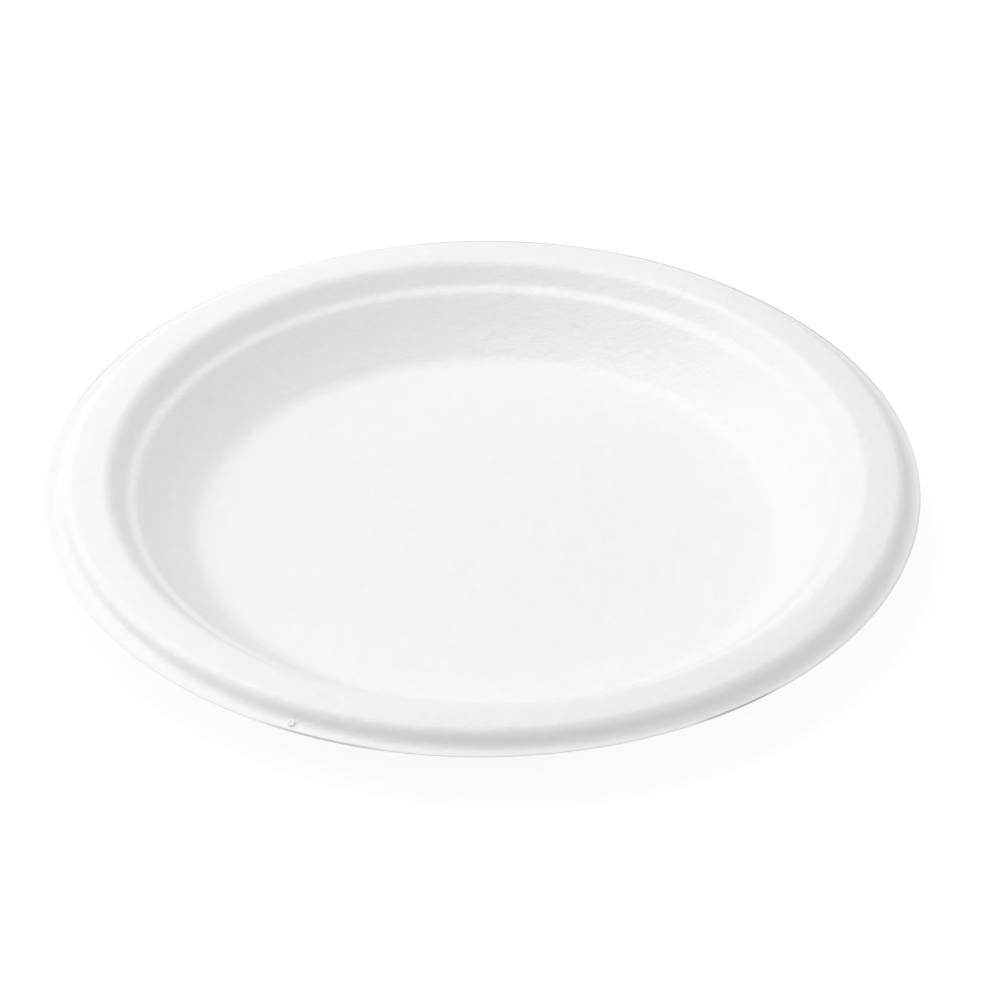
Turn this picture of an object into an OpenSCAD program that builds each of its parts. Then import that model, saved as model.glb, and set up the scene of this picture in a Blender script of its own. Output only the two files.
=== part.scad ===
// Round moulded-fibre plate: a flat floor, a sloping wall, a small stacking
// ledge, a broad arched rim, a skirt and a narrow trimmed flange, all formed
// as one sheet. The origin is at the centre of the face that the plate stands
// on, +Z up. Heights are taken above the floor, on the upper, eating side.

/* [Sheet] */
// Thickness of the formed sheet
wall = 0.6; // [0.4:0.05:1.2]

/* [Outline] */
// Diameter of the trimmed outline
plate_d = 230; // [150:1:270]
// Overall height, from the face it stands on to the top of the rim
plate_h = 18.5; // [15:0.1:24]
// How far the trimmed outline lies off the centre of the forming
trim_shift = 0.9; // [0:0.1:1.5]
// Direction of that shift, counted from +X
trim_shift_az = 150; // [0:5:355]

/* [Flange and skirt] */
// Mean width of the flange, seen from above
flange_w = 3.3; // [2:0.05:8]
// Slope of the flange, falling outward, in degrees
flange_slope = 1; // [0:1:25]
// Width of the skirt, seen from above
skirt_w = 2.05; // [1:0.05:5]
// How far the skirt comes down from the rim's outer edge
skirt_drop = 4.4; // [3:0.05:8]
// Radius of the bend from the skirt out into the flange
foot_bend_r = 2.9; // [1:0.1:6]

/* [Rim] */
// Width of the rim from its outer edge to its crown
rim_outer_w = 5.9; // [3:0.05:8]
// How much the rim falls over that width
rim_fall = 0.6; // [0.2:0.05:1.5]
// Width of the rim from its crown to its inner edge
rim_inner_w = 5.2; // [3:0.1:8]
// Radius of the bend from the rim down into the skirt
rim_outer_bend_r = 3.4; // [1:0.1:6]
// Radius of the rim's gentle arch across its crown
crown_bend_r = 34; // [10:1:50]
// Radius of the bend from the rim into the upper slope
rim_inner_bend_r = 4.5; // [1:0.1:6]

/* [Upper slope and stacking ledge] */
// Width of the short upper slope, seen from above
slope_w = 4.45; // [2:0.05:8]
// How far the upper slope comes down to the ledge
slope_drop = 4.7; // [2:0.05:7]
// Width of the stacking ledge, seen from above
ledge_w = 2.55; // [0.8:0.05:4]
// Slope of the ledge, falling inward, in degrees
ledge_slope = 16; // [0:1:30]
// Radius of the two bends beside the ledge
ledge_bend_r = 3.6; // [0.5:0.1:5]

/* [Wall and floor] */
// Width of the wall, seen from above
wall_w = 15.1; // [12:0.1:25]
// How far the middle of the wall is hollowed below a straight slope
wall_hollow = 1.1; // [0.1:0.05:1.4]
// Radius of that hollow
wall_bend_r = 50; // [20:1:90]
// Radius of the bend from the wall into the floor
floor_bend_r = 9; // [3:0.5:14]

/* [Forming pip] */
// Diameter of the small pip where it leaves the sheet
pip_d = 2.1; // [1.2:0.1:2.6]
// How far the pip stands up from the sheet
pip_h = 0.6; // [0.3:0.05:1]
// Draft of the pip's side, in degrees
pip_draft = 25; // [5:1:30]
// Slope of the sheet where the pip stands, on the bend at the skirt's foot
pip_slope = 24; // [5:1:60]
// Place of the pip around the plate, counted from +X
pip_az = 244; // [0:1:359]

/* [Hidden] */

// Turning angle covered by one short side of a bend, in degrees
bend_step = 5;
// Sides of the round preview; the revolved faces themselves are true ones
round_sides = 180;
// The sheet is formed a little past its outline, then trimmed to it
trim_reach = 1.5;

// Radii of the lines where the sheet's stretches meet, from the outline in
outline_r = plate_d / 2;
foot_r = outline_r - flange_w;
rim_outer_r = foot_r - skirt_w;
crown_r = rim_outer_r - rim_outer_w;
rim_inner_r = crown_r - rim_inner_w;
ledge_outer_r = rim_inner_r - slope_w;
ledge_inner_r = ledge_outer_r - ledge_w;
wall_mid_r = ledge_inner_r - wall_w / 2;
floor_r = ledge_inner_r - wall_w;
formed_r = outline_r + trim_shift + trim_reach;

// Heights of those lines above the floor, on the upper side
rim_z = plate_h - wall;
rim_outer_z = rim_z - rim_fall;
foot_z = rim_outer_z - skirt_drop;
formed_z = foot_z - (formed_r - foot_r) * tan(flange_slope);
ledge_outer_z = rim_z - slope_drop;
ledge_inner_z = ledge_outer_z - ledge_w * tan(ledge_slope);
wall_mid_z = ledge_inner_z / 2 - wall_hollow;

// Corners of the sheet's upper face as [radius, height, bend radius], from
// the centre outward
corners = [
    [0, 0, 0],
    [floor_r, 0, floor_bend_r],
    [wall_mid_r, wall_mid_z, wall_bend_r],
    [ledge_inner_r, ledge_inner_z, ledge_bend_r],
    [ledge_outer_r, ledge_outer_z, ledge_bend_r],
    [rim_inner_r, rim_z, rim_inner_bend_r],
    [crown_r, rim_z, crown_bend_r],
    [rim_outer_r, rim_outer_z, rim_outer_bend_r],
    [foot_r, foot_z, foot_bend_r],
    [formed_r, formed_z, 0]
];
last = len(corners) - 1;

// Run of the sheet from corner i to the next, as a vector, its slope, and how
// much the sheet turns at corner i
function run(i) = [corners[i + 1][0] - corners[i][0], corners[i + 1][1] - corners[i][1]];
function slope(i) = atan2(run(i)[1], run(i)[0]);
function turn(i) = slope(i) - slope(i - 1);

// Unit vector square to a slope, on the sheet's upper side
function square_to(angle) = [-sin(angle), cos(angle)];

// Room for the bend at corner i: two bends share the run between them, and
// the first and the last have theirs to themselves
function room(i) = min(norm(run(i - 1)) / (i == 1 ? 1 : 2), norm(run(i)) / (i == last - 1 ? 1 : 2));

// Radius of the bend at corner i, its centre, and the point where it has
// reached a slope, as [radius, height, slope]
function bend_r(i) = min(corners[i][2], room(i) / tan(abs(turn(i)) / 2));
function bend_centre(i) = let (
        reach = sign(turn(i)) * bend_r(i) / cos(turn(i) / 2)
    ) [corners[i][0], corners[i][1]] + reach * square_to(slope(i - 1) + turn(i) / 2);
function bend_point(i, angle) = let (
        p = bend_centre(i) - sign(turn(i)) * bend_r(i) * square_to(angle)
    ) [p[0], p[1], angle];

// All points of the bend at corner i
function bend(i) = let (
        sides = ceil(abs(turn(i)) / bend_step)
    ) [for (k = [0:sides]) bend_point(i, slope(i - 1) + turn(i) * k / sides)];

// The upper face from the centre to the untrimmed edge
upper_run = [
    [0, 0, 0],
    for (i = [1:last - 1]) each bend(i),
    [formed_r, formed_z, slope(last - 1)]
];

// A point of the upper face, or the one square below it on the lower face.
// The floor's lower face lies on Z = 0
function on_face(p, depth) = [p[0], p[1] + wall] - depth * square_to(p[2]);

// Half of the sheet's cross-section
module section() {
    upper = [for (p = upper_run) on_face(p, 0)];
    lower = [for (k = [len(upper_run) - 1:-1:0]) on_face(upper_run[k], wall)];
    polygon(concat(upper, lower));
}

// The formed sheet, round about the centre of the forming
module formed_sheet() {
    rotate_extrude($fn = round_sides)
        section();
}

// The die that cuts the outline, a little off the centre of the forming
module trim_die() {
    margin = 1;
    rotate([0, 0, trim_shift_az])
        translate([trim_shift, 0, -margin])
            cylinder(r = outline_r, h = plate_h + 2 * margin, $fn = round_sides);
}

// The small pip that the forming leaves at the skirt's foot, square to the
// bend there and rooted in the sheet
module pip() {
    root = wall / 2;
    foot = last - 1;
    lean = max(flange_slope, min(pip_slope, -slope(foot - 1)));
    seat = on_face(bend_point(foot, -lean), root);
    rotate([0, 0, pip_az])
        translate([seat[0], 0, seat[1]])
            rotate([0, lean, 0])
                cylinder(
                    d1 = pip_d + 2 * root * tan(pip_draft),
                    d2 = pip_d - 2 * pip_h * tan(pip_draft),
                    h = root + pip_h,
                    $fn = 32
                );
}

module plate() {
    color("#F6F6F4")
        union() {
            intersection() {
                formed_sheet();
                trim_die();
            }
            pip();
        }
}

plate();
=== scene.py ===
import math

import bpy
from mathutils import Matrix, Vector, noise


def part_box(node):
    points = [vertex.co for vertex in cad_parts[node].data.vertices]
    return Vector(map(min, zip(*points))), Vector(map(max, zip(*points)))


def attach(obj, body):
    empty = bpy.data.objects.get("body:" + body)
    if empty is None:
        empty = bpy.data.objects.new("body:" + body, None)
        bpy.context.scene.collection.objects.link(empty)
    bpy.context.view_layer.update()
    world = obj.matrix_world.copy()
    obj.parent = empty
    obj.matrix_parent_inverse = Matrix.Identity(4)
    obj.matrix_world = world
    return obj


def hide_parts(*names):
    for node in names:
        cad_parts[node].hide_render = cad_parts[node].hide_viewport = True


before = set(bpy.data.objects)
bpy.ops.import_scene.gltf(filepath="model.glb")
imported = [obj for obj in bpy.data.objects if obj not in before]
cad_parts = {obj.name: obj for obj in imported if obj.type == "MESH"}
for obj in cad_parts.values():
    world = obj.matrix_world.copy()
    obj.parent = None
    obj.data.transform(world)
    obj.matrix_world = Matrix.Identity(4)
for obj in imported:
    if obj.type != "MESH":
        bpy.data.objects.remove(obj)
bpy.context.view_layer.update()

# The plate is one sheet of moulded plant fibre. Wet pulp is drawn onto a wire
# screen, pressed between hot dies and then trimmed round its flange, so floor,
# wall, stacking ledge, rim, skirt and flange are folds of the same sheet.
MM = 0.001
low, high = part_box("plate")
outline_r = (high[0] - low[0]) / 2 / MM
outline_x = (high[0] + low[0]) / 2 / MM
outline_y = (high[1] + low[1]) / 2 / MM
plate_h = (high[2] - low[2]) / MM
sheet = 0.6
flange_w, flange_slope = 3.3, math.radians(1)
skirt_w, skirt_drop = 2.05, 4.4
rim_outer_w, rim_inner_w, rim_fall = 5.9, 5.2, 0.6
slope_w, slope_drop = 4.45, 4.7
ledge_w, ledge_slope = 2.55, math.radians(16)
wall_w, wall_hollow = 15.1, 1.1
floor_bend, wall_bend, ledge_bend, rim_inner_bend = 9.0, 50.0, 3.6, 4.5
crown_bend, rim_outer_bend, foot_bend = 34.0, 3.4, 2.9
foot_z = plate_h - rim_fall - skirt_drop


def fold_lines():
    """The sheet's folds from the centre out, each as radius, height and bend radius in mm."""
    foot_r = outline_r - flange_w
    rim_outer_r = foot_r - skirt_w
    crown_r = rim_outer_r - rim_outer_w
    rim_inner_r = crown_r - rim_inner_w
    ledge_outer_r = rim_inner_r - slope_w
    ledge_inner_r = ledge_outer_r - ledge_w
    floor_r = ledge_inner_r - wall_w
    ledge_outer_z = plate_h - slope_drop
    ledge_inner_z = ledge_outer_z - ledge_w * math.tan(ledge_slope)
    past_outline = 4
    return [
        (0, sheet, 0),
        (floor_r, sheet, floor_bend),
        (floor_r + wall_w / 2, (sheet + ledge_inner_z) / 2 - wall_hollow, wall_bend),
        (ledge_inner_r, ledge_inner_z, ledge_bend),
        (ledge_outer_r, ledge_outer_z, ledge_bend),
        (rim_inner_r, plate_h, rim_inner_bend),
        (crown_r, plate_h, crown_bend),
        (rim_outer_r, plate_h - rim_fall, rim_outer_bend),
        (foot_r, foot_z, foot_bend),
        (outline_r + past_outline, foot_z - (flange_w + past_outline) * math.tan(flange_slope), 0),
    ]


def square_to(angle):
    """Unit vector in the section, square to a stretch of that slope, on the eating side."""
    return Vector((-math.sin(angle), math.cos(angle)))


def section_points(lines, bend_step=math.radians(3), longest=2.2):
    """The eating side as (point, slope) from the centre to the end of the foot's bend."""
    corners = [Vector(line[:2]) for line in lines]
    slopes = [math.atan2(b.y - a.y, b.x - a.x) for a, b in zip(corners, corners[1:])]
    points = [(corners[0], 0.0)]
    for i in range(1, len(lines) - 1):
        turn = slopes[i] - slopes[i - 1]
        radius, side = lines[i][2], math.copysign(1, turn)
        centre = corners[i] + side * radius / math.cos(turn / 2) * square_to(slopes[i - 1] + turn / 2)
        start = centre - side * radius * square_to(slopes[i - 1])
        before = points[-1][0]
        parts = max(1, math.ceil((start - before).length / longest))
        points += [(before.lerp(start, k / parts), slopes[i - 1]) for k in range(1, parts)]
        parts = math.ceil(abs(turn) / bend_step)
        for k in range(parts + 1):
            angle = slopes[i - 1] + turn * k / parts
            points.append((centre - side * radius * square_to(angle), angle))
    return points


def outline_at(angle):
    """Distance from the forming's centre to the trimmed outline, which is a little off centre."""
    along = outline_x * math.cos(angle) + outline_y * math.sin(angle)
    across = outline_x * math.sin(angle) - outline_y * math.cos(angle)
    return along + math.sqrt(outline_r ** 2 - across ** 2)


def hump(azimuth, middle, reach):
    """1 at the middle azimuth, easing to 0 at that many degrees from it."""
    return math.cos(min(1.0, abs(azimuth - middle) / reach) * math.pi / 2) ** 2


def between(value, none, full):
    """0 at or before the first value, 1 at or past the second, and in proportion between them."""
    return min(1.0, max(0.0, (value - none) / (full - none)))


def relief(point, depth=0.05, patch=6.5, grain=2.8):
    """Uneven pressing of the sheet, from 0 to the depth, in patches and grains of those sizes in mm."""
    middle, patch_share, grain_share = 0.5, 0.55, 0.3
    pressed_in = middle + patch_share * noise.noise(point / patch) + grain_share * noise.noise(point / grain)
    return depth * min(1.0, max(0.0, pressed_in))


def settle(point, uneven=0.2, low_back=0.25):
    """How far the sheet sank as it dried: nothing on the floor, and most at the back of the rim."""
    wall_low_r, wall_high_r, rim_in_r, crown_r, rim_out_r, skirt_foot_r = 78, 88, 98, 103, 110.2, 112
    back, back_reach, waves_round = 95, 45, 1.7
    radius = math.hypot(point.x, point.y)
    azimuth = math.degrees(math.atan2(point.y, point.x))
    wave = 0.5 + 0.5 * noise.noise(Vector((point.x, point.y, 0)).normalized() * waves_round)
    on_rim = between(radius, wall_high_r, rim_in_r) * between(radius, skirt_foot_r, rim_out_r)
    all_round = uneven * between(radius, wall_low_r, crown_r) * wave
    return all_round + low_back * on_rim * hump(azimuth, back, back_reach)


def flange_rings(angle, foot, slope, inset, rings):
    """The flange at one angle, from the foot's bend to the trimmed edge. It sags along the back."""
    end = outline_at(angle) - inset
    # Each sag has its middle's azimuth and its reach in degrees, and its depth
    # in mm
    sag = 0.0
    for middle, reach, depth in ((45, 25, 0.4), (130, 45, 0.8)):
        sag += depth * hump(math.degrees(angle), middle, reach)
    for k in range(1, rings + 1):
        share = k / rings
        out = (end - foot.x) * share
        yield Vector((foot.x + out, foot.y + out * math.tan(slope) - sag * share ** 2))


def forming_pip(upper, first):
    """The small pip that the forming leaves at the skirt's foot: points, and faces counted from first."""
    azimuth, lean, sides = math.radians(244), math.radians(24), 28
    pip_r, pip_h, root, draft, edge = 1.15, 0.6, 0.26, math.radians(25), 0.14
    dimple, dimple_lip_r, dimple_side_r, dimple_floor_r = 0.2, 0.4, 0.27, 0.12
    for (p, a), (q, b) in zip(upper, upper[1:]):
        if a <= -lean <= b:
            seat = p.lerp(q, (-lean - a) / (b - a))
    outward = Vector((math.cos(azimuth), math.sin(azimuth), 0))
    along = outward * math.cos(lean) - Vector((0, 0, math.sin(lean)))
    up = Vector((0, 0, math.cos(lean))) + outward * math.sin(lean)
    across = up.cross(along)
    seat = outward * seat.x + Vector((0, 0, seat.y))
    heights = (-root, 0.0, 0.16, 0.32, pip_h - edge)
    profile = [(pip_r - height * math.tan(draft), height) for height in heights]
    shoulder = profile[-1][0]
    for turned in (30, 60, 90):
        swept = math.radians(turned)
        profile.append((shoulder - edge * (1 - math.cos(swept)), pip_h - edge * (1 - math.sin(swept))))
    profile.append((dimple_lip_r, pip_h))
    profile.append((dimple_side_r, pip_h - dimple / 2))
    profile.append((dimple_floor_r, pip_h - dimple))
    points, faces = [], []
    for radius, height in profile:
        for k in range(sides):
            turn = 2 * math.pi * k / sides
            points.append(seat + up * height + (along * math.cos(turn) + across * math.sin(turn)) * radius)
    points.append(seat + up * (pip_h - dimple))
    for ring in range(len(profile) - 1):
        for k in range(sides):
            a, b = first + ring * sides + k, first + ring * sides + (k + 1) % sides
            faces.append((a, b, b + sides, a + sides))
    last = first + (len(profile) - 1) * sides
    faces += [(last + k, last + (k + 1) % sides, first + len(points) - 1) for k in range(sides)]
    return points, faces


def build_plate():
    """The sheet as one closed mesh: eating side, trimmed edge and under side, with the pip rooted in it."""
    sides, rings = 320, 5
    # The trimmed edge is a blunt nose: how far it reaches in from the outline,
    # how far it comes down from the eating side, and up from the under side.
    # Its shoulder has a share of that reach and of that drop
    nose_in, nose_drop, nose_lift = 0.45, 0.25, 0.25
    reach_share, drop_share = 0.7, 0.3
    shoulder = Vector((nose_in * reach_share, -nose_drop * drop_share))
    upper = section_points(fold_lines())
    slope = upper[-1][1]
    rows = []
    for s in range(sides):
        angle = 2 * math.pi * s / sides
        top = [p for p, _ in upper[1:]]
        under = [p - sheet * square_to(a) for p, a in upper[1:]]
        top += flange_rings(angle, top[-1], slope, nose_in, rings)
        under += flange_rings(angle, under[-1], slope, nose_in, rings)
        edge = outline_at(angle)
        high_edge = top[-1].y - nose_drop
        low_edge = under[-1].y + nose_lift
        nose = [top[-1] + shoulder, Vector((edge, high_edge))]
        nose += [Vector((edge, (high_edge + low_edge) / 2)), Vector((edge, low_edge))]
        rows.append((top, nose, under))
    vertices, faces, kinds = [Vector((0, 0, sheet)), Vector((0, 0, 0))], [], []
    n_top, n_nose = len(rows[0][0]), len(rows[0][1])
    per_row = 2 * n_top + n_nose
    for s, (top, nose, under) in enumerate(rows):
        angle = 2 * math.pi * s / sides
        for p in top + nose + under[::-1]:
            vertices.append(Vector((p.x * math.cos(angle), p.x * math.sin(angle), p.y)))
    # The third kind is the cut edge's material, which carries painted shade
    pressed, screened, cut_and_painted_shade = 0, 1, 2
    # Round the back, past this sine of the azimuth, the last ring of the flange takes
    # the cut edge's material as well, as painted shade along the back's outline
    back_sine = 0.35
    for s in range(sides):
        here, there = 2 + s * per_row, 2 + (s + 1) % sides * per_row
        faces.append((0, here, there))
        kinds.append(pressed)
        whole = n_top - (2 if math.sin(2 * math.pi * s / sides) > back_sine else 1)
        for k in range(per_row - 1):
            faces.append((here + k, here + k + 1, there + k + 1, there + k))
            kinds.append(pressed if k < whole else cut_and_painted_shade if k < n_top + n_nose - 1 else screened)
        faces.append((1, there + per_row - 1, here + per_row - 1))
        kinds.append(screened)
    pip_points, pip_faces = forming_pip(upper, len(vertices))
    vertices += pip_points
    faces += pip_faces
    kinds += [pressed] * len(pip_faces)
    mesh = bpy.data.meshes.new("plate")
    mesh.from_pydata([v * MM for v in vertices], [], faces)
    mesh.update()
    mesh.polygons.foreach_set("material_index", kinds)
    mesh.shade_smooth()
    normals = [v.normal.copy() for v in mesh.vertices]
    for vertex, place, normal in zip(mesh.vertices, vertices, normals):
        moved = place - normal * relief(place)
        moved.z = max(0.0, moved.z - settle(place))
        vertex.co = moved * MM
    mesh.update()
    plate = bpy.data.objects.new("moulded_plate", mesh)
    bpy.context.collection.objects.link(plate)
    return plate


def linear(code):
    """A colour written as sRGB hex, as the linear values that shaders take."""
    channels = [int(code[i:i + 2], 16) / 255 for i in (1, 3, 5)]
    return [c / 12.92 if c <= 0.04045 else ((c + 0.055) / 1.055) ** 2.4 for c in channels] + [1.0]


def add_node(tree, kind, settings=None, links=None):
    """A node of that kind, with its settings, and its inputs linked to outputs or set to plain values."""
    node = tree.nodes.new(kind)
    for name, value in (settings or {}).items():
        setattr(node, name, value)
    for name, value in (links or {}).items():
        if isinstance(value, bpy.types.NodeSocket):
            tree.links.new(value, node.inputs[name])
        else:
            node.inputs[name].default_value = value
    return node


def new_material(name):
    """An empty material with a Principled shader joined to its output."""
    material = bpy.data.materials.new(name)
    material.use_nodes = True
    tree = material.node_tree
    tree.nodes.clear()
    shader = add_node(tree, "ShaderNodeBsdfPrincipled")
    add_node(tree, "ShaderNodeOutputMaterial", links={"Surface": shader.outputs["BSDF"]})
    return material, tree, shader


# Pulp settles in denser and thinner patches about 7 mm across
formation = {"Scale": 1 / (7 * MM), "Detail": 3.0, "Roughness": 0.55, "Distortion": 0.4}


def fibres(tree, place, turn, length_mm, width_mm):
    """Fibre bundles lying in one direction in the plane of the plate, each bent a little."""
    bend_mm, swerve_mm = 9, 4
    bend = add_node(tree, "ShaderNodeTexNoise", links={
        "Vector": place, "Scale": 1 / (bend_mm * MM), "Detail": 1.0})
    shift = add_node(tree, "ShaderNodeVectorMath", {"operation": "SCALE"}, {
        "Vector": bend.outputs["Color"], "Scale": swerve_mm * MM})
    bent = add_node(tree, "ShaderNodeVectorMath", {"operation": "ADD"}, {
        0: place, 1: shift.outputs["Vector"]})
    turned = add_node(tree, "ShaderNodeMapping", links={
        "Vector": bent.outputs["Vector"], "Rotation": (0, 0, math.radians(turn)),
        "Scale": (1 / (length_mm * MM), 1 / (width_mm * MM), 1 / (length_mm * MM))})
    return add_node(tree, "ShaderNodeTexNoise", links={
        "Vector": turned.outputs["Vector"], "Scale": 1.0, "Detail": 1.5}).outputs["Fac"]


def pressed_face():
    """The side the hot die pressed smooth: a soft sheen, cloudy patches, flat fibres and a fine tooth."""
    material, tree, shader = new_material("moulded_fibre_pressed_face")
    place = add_node(tree, "ShaderNodeTexCoord").outputs["Object"]
    cloud = add_node(tree, "ShaderNodeTexNoise", links={"Vector": place, **formation}).outputs["Fac"]
    tooth = add_node(tree, "ShaderNodeTexNoise", links={
        "Vector": place, "Scale": 1 / (2.2 * MM), "Detail": 1.5}).outputs["Fac"]
    # Real fibres are a millimetre or two long and thinner than a hair: these
    # are bundles of them, coarse enough to show
    bundle_l, bundle_w, bundle_share = 5.0, 0.55, 0.35
    strands = fibres(tree, place, 12, bundle_l, bundle_w)
    for turn in (71, 128):
        strands = add_node(tree, "ShaderNodeMath", {"operation": "MAXIMUM"}, {
            0: strands, 1: fibres(tree, place, turn, bundle_l, bundle_w)}).outputs["Value"]
    tone = add_node(tree, "ShaderNodeMath", {"operation": "MULTIPLY_ADD"}, {
        0: strands, 1: bundle_share, 2: cloud})
    share = add_node(tree, "ShaderNodeMapRange", links={
        "Value": tone.outputs["Value"], "From Min": 0.45, "From Max": 0.95}).outputs["Result"]
    colour = add_node(tree, "ShaderNodeMix", {"data_type": "RGBA"}, {
        "Factor": share, 6: linear("#F1F1F1"), 7: linear("#F3F3F3")})
    tree.links.new(colour.outputs[2], shader.inputs["Base Color"])
    sheen = add_node(tree, "ShaderNodeMapRange", links={
        "Value": cloud, "From Min": 0.3, "From Max": 0.7, "To Min": 0.42, "To Max": 0.5}).outputs["Result"]
    tree.links.new(sheen, shader.inputs["Roughness"])
    normal = add_node(tree, "ShaderNodeBump", links={
        "Height": cloud, "Distance": 0.25 * MM}).outputs["Normal"]
    for height, depth in ((strands, 0.12), (tooth, 0.16)):
        normal = add_node(tree, "ShaderNodeBump", links={
            "Height": height, "Distance": depth * MM, "Normal": normal}).outputs["Normal"]
    tree.links.new(normal, shader.inputs["Normal"])
    return material


def screen_face():
    """The side that lay on the forming screen: dull, with the screen's woven wires printed in the pulp."""
    material, tree, shader = new_material("moulded_fibre_screen_face")
    place = add_node(tree, "ShaderNodeTexCoord").outputs["Object"]
    cloud = add_node(tree, "ShaderNodeTexNoise", links={"Vector": place, **formation}).outputs["Fac"]
    tooth = add_node(tree, "ShaderNodeTexNoise", links={
        "Vector": place, "Scale": 1 / (0.7 * MM), "Detail": 2.0}).outputs["Fac"]
    # A real screen has about two wires to the millimetre: these are drawn at
    # 1.1 mm, so that the print shows from a step away
    pitch = 1.1
    axes = add_node(tree, "ShaderNodeSeparateXYZ", links={"Vector": place})
    waves = []
    for axis in ("X", "Y"):
        phase = add_node(tree, "ShaderNodeMath", {"operation": "MULTIPLY"}, {
            0: axes.outputs[axis], 1: 2 * math.pi / (pitch * MM)})
        wave = add_node(tree, "ShaderNodeMath", {"operation": "SINE"}, {0: phase.outputs["Value"]})
        waves.append(wave.outputs["Value"])
    weave = add_node(tree, "ShaderNodeMath", {"operation": "MAXIMUM"}, {
        0: waves[0], 1: waves[1]}).outputs["Value"]
    share = add_node(tree, "ShaderNodeMapRange", links={
        "Value": cloud, "From Min": 0.3, "From Max": 0.7}).outputs["Result"]
    colour = add_node(tree, "ShaderNodeMix", {"data_type": "RGBA"}, {
        "Factor": share, 6: linear("#EDEDEC"), 7: linear("#F1F1F0")})
    tree.links.new(colour.outputs[2], shader.inputs["Base Color"])
    shader.inputs["Roughness"].default_value = 0.82
    normal = add_node(tree, "ShaderNodeBump", links={
        "Height": cloud, "Distance": 0.05 * MM}).outputs["Normal"]
    for height, depth in ((weave, 0.03), (tooth, 0.02)):
        normal = add_node(tree, "ShaderNodeBump", links={
            "Height": height, "Distance": depth * MM, "Normal": normal}).outputs["Normal"]
    tree.links.new(normal, shader.inputs["Normal"])
    return material


def cut_edge():
    """The trimmed edge: fibre ends that hold the light, with painted shade in stretches round the outline.
    """
    material, tree, shader = new_material("moulded_fibre_cut_edge")
    place = add_node(tree, "ShaderNodeTexCoord").outputs["Object"]
    frayed = add_node(tree, "ShaderNodeTexNoise", links={
        "Vector": place, "Scale": 1 / (0.5 * MM), "Detail": 3.0, "Roughness": 0.6}).outputs["Fac"]
    # Each stretch of painted shade has its middle's azimuth, its reach in mm and its depth
    # of tone, which is whole over the core's share of the reach
    stretches = ((62, 100, 1.0), (128, 90, 0.5), (249, 20, 0.65), (305, 16, 0.85), (338, 55, 0.15))
    core, frayed_share = 0.4, 0.2
    cut_and_painted_shade = None
    for azimuth, reach, depth in stretches:
        turn = math.radians(azimuth)
        middle = Vector((math.cos(turn) * outline_r, math.sin(turn) * outline_r, foot_z)) * MM
        apart = add_node(tree, "ShaderNodeVectorMath", {"operation": "DISTANCE"}, {0: place, 1: middle})
        stretch = add_node(tree, "ShaderNodeMapRange", links={
            "Value": apart.outputs["Value"], "From Min": reach * core * MM, "From Max": reach * MM,
            "To Min": depth, "To Max": 0.0}).outputs["Result"]
        if cut_and_painted_shade:
            stretch = add_node(tree, "ShaderNodeMath", {"operation": "MAXIMUM"}, {
                0: cut_and_painted_shade, 1: stretch}).outputs["Value"]
        cut_and_painted_shade = stretch
    tone = add_node(tree, "ShaderNodeMath", {"operation": "MULTIPLY_ADD"}, {
        0: frayed, 1: frayed_share, 2: cut_and_painted_shade})
    share = add_node(tree, "ShaderNodeMapRange", links={
        "Value": tone.outputs["Value"], "From Min": 0.1, "From Max": 1.1}).outputs["Result"]
    # The darker colour is painted shade, which the stretches above bring in
    colour = add_node(tree, "ShaderNodeMix", {"data_type": "RGBA"}, {
        "Factor": share, 6: linear("#F8F8F7"), 7: linear("#BABAB9")})
    tree.links.new(colour.outputs[2], shader.inputs["Base Color"])
    shader.inputs["Roughness"].default_value = 0.9
    normal = add_node(tree, "ShaderNodeBump", links={
        "Height": frayed, "Distance": 0.06 * MM}).outputs["Normal"]
    tree.links.new(normal, shader.inputs["Normal"])
    return material


plate = build_plate()
for material in (pressed_face(), screen_face(), cut_edge()):
    plate.data.materials.append(material)
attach(plate, "root")
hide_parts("plate")


# The table is a plain pale sheet under the plate. It shows white to the camera
# and keeps the plate's soft shadow. It isn't part of the object.
def seen_directly(tree):
    """1 for rays from the camera or a gloss, which show the backdrop, and 0 for rays that gather light."""
    rays = add_node(tree, "ShaderNodeLightPath")
    return add_node(tree, "ShaderNodeMath", {"operation": "MAXIMUM"}, {
        0: rays.outputs["Is Camera Ray"], 1: rays.outputs["Is Glossy Ray"]}).outputs["Value"]


table_half = 4.0
table_gap = 0.02 * MM
corners = [(x * table_half, y * table_half, 0) for x, y in ((-1, -1), (1, -1), (1, 1), (-1, 1))]
table_mesh = bpy.data.meshes.new("table")
table_mesh.from_pydata(corners, [], [(0, 1, 2, 3)])
table = bpy.data.objects.new("table", table_mesh)
table.location.z = -table_gap
bpy.context.collection.objects.link(table)
card, tree, shader = new_material("table_white_card")
shader.inputs["Base Color"].default_value = linear("#FAFAFA")
shader.inputs["Roughness"].default_value = 1.0
shader.inputs["Specular IOR Level"].default_value = 0.0
glow = add_node(tree, "ShaderNodeEmission", links={"Color": linear("#FFFFFF"), "Strength": 0.9})
dim = add_node(tree, "ShaderNodeBsdfDiffuse", links={"Color": linear("#6A6A6A")})
card_seen = add_node(tree, "ShaderNodeAddShader", links={
    0: glow.outputs["Emission"], 1: dim.outputs["BSDF"]})
seen_or_lit = add_node(tree, "ShaderNodeMixShader", links={
    0: seen_directly(tree), 1: shader.outputs["BSDF"], 2: card_seen.outputs["Shader"]})
tree.links.new(seen_or_lit.outputs["Shader"], tree.nodes["Material Output"].inputs["Surface"])
table.data.materials.append(card)

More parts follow.
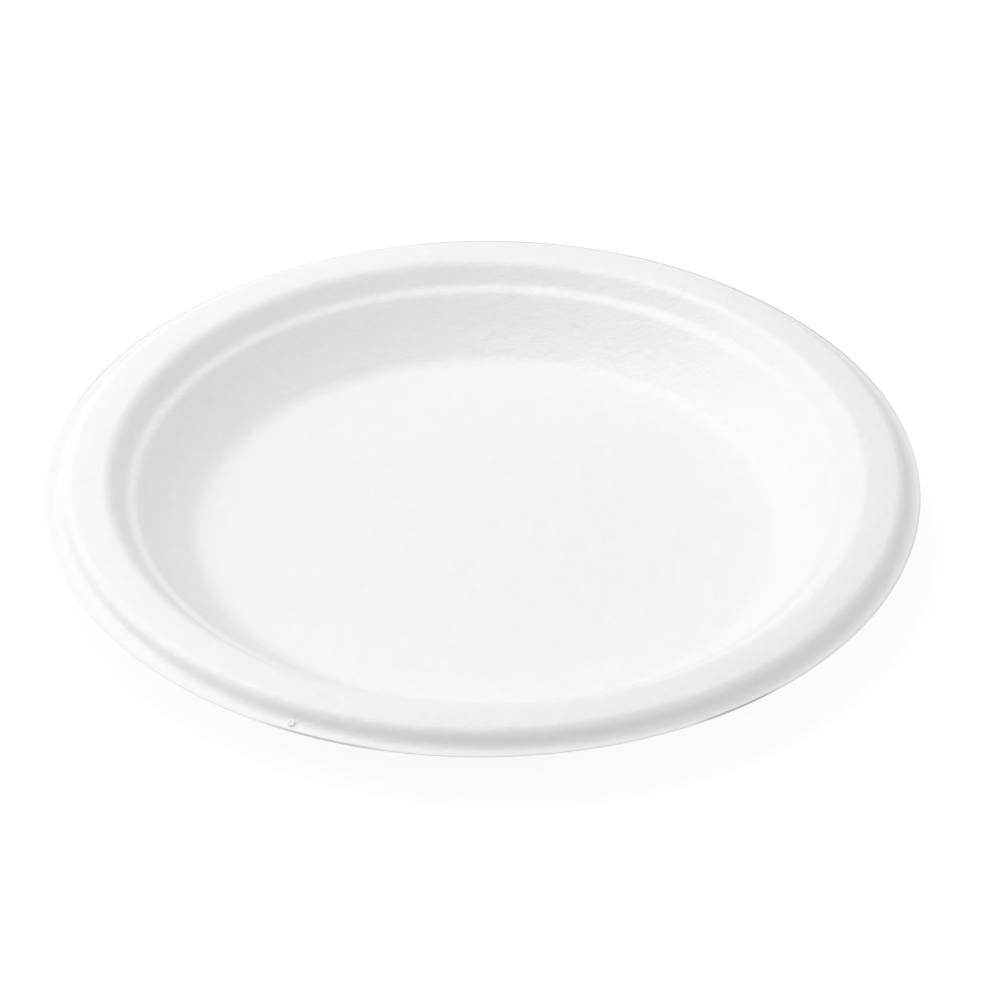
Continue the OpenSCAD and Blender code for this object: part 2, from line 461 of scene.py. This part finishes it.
# The camera looks down on the plate from a few metres off with a long lens, so
# the far and near sides of the rim stay almost alike, as in the photograph.
camera_distance, camera_elevation = 2.85, math.radians(36.1)
pixels_per_mm, frame_px = 3.802, 1000
centre_px = (485.1, 530.0)
sensor, farthest = 36.0, 20
centre = Vector((0, 0, sheet * MM))
towards = Vector((0, -math.cos(camera_elevation), math.sin(camera_elevation)))
right, above = Vector((1, 0, 0)), Vector((0, math.sin(camera_elevation), math.cos(camera_elevation)))
aim = centre + right * (frame_px / 2 - centre_px[0]) / pixels_per_mm * MM
aim += above * (centre_px[1] - frame_px / 2) / pixels_per_mm * MM
lens = bpy.data.cameras.new("camera")
lens.sensor_width = sensor
lens.lens = sensor * pixels_per_mm * camera_distance / MM / frame_px
lens.clip_end = farthest
camera = bpy.data.objects.new("camera", lens)
camera.location = aim + towards * camera_distance
camera.rotation_euler = towards.to_track_quat("Z", "Y").to_euler()
bpy.context.collection.objects.link(camera)
bpy.context.scene.camera = camera

# The light is that of a white studio tent with soft lamps round it, strongest
# on the left and behind. Azimuths are counted from +X, seen from above, and
# elevations from the table, both in degrees.
lamp_distance, lamp_size = 1.6, 0.7
for name, azimuth, elevation, power in (
        ("lamp_left_grazing", 180, 12, 0.5),
        ("lamp_left_low", 165, 25, 4.1),
        ("lamp_left", 180, 40, 3.2),
        ("lamp_back_left", 135, 40, 1.6),
        ("lamp_back_left_high", 135, 65, 8.1),
        ("lamp_back", 90, 40, 1.0),
        ("lamp_right", 0, 40, 1.1),
        ("lamp_front_right", 315, 40, 3.8)):
    light = bpy.data.lights.new(name, "AREA")
    light.shape = "DISK"
    light.size = lamp_size
    light.energy = power
    lamp = bpy.data.objects.new(name, light)
    turn, rise = math.radians(azimuth), math.radians(elevation)
    direction = Vector((math.cos(turn) * math.cos(rise), math.sin(turn) * math.cos(rise), math.sin(rise)))
    lamp.location = direction * lamp_distance
    lamp.rotation_euler = direction.to_track_quat("Z", "Y").to_euler()
    bpy.context.collection.objects.link(lamp)

# The tent's walls fill the shadows with an even light and show as pure white
world = bpy.data.worlds.new("studio")
world.use_nodes = True
tree = world.node_tree
tree.nodes.clear()
tent = add_node(tree, "ShaderNodeBackground", links={"Color": linear("#FFFFFF"), "Strength": 0.353})
backdrop = add_node(tree, "ShaderNodeBackground", links={"Color": linear("#FFFFFF"), "Strength": 1.0})
mix = add_node(tree, "ShaderNodeMixShader", links={
    0: seen_directly(tree), 1: tent.outputs["Background"], 2: backdrop.outputs["Background"]})
add_node(tree, "ShaderNodeOutputWorld", links={"Surface": mix.outputs["Shader"]})
bpy.context.scene.world = world
bpy.context.scene.view_settings.view_transform = "Standard"
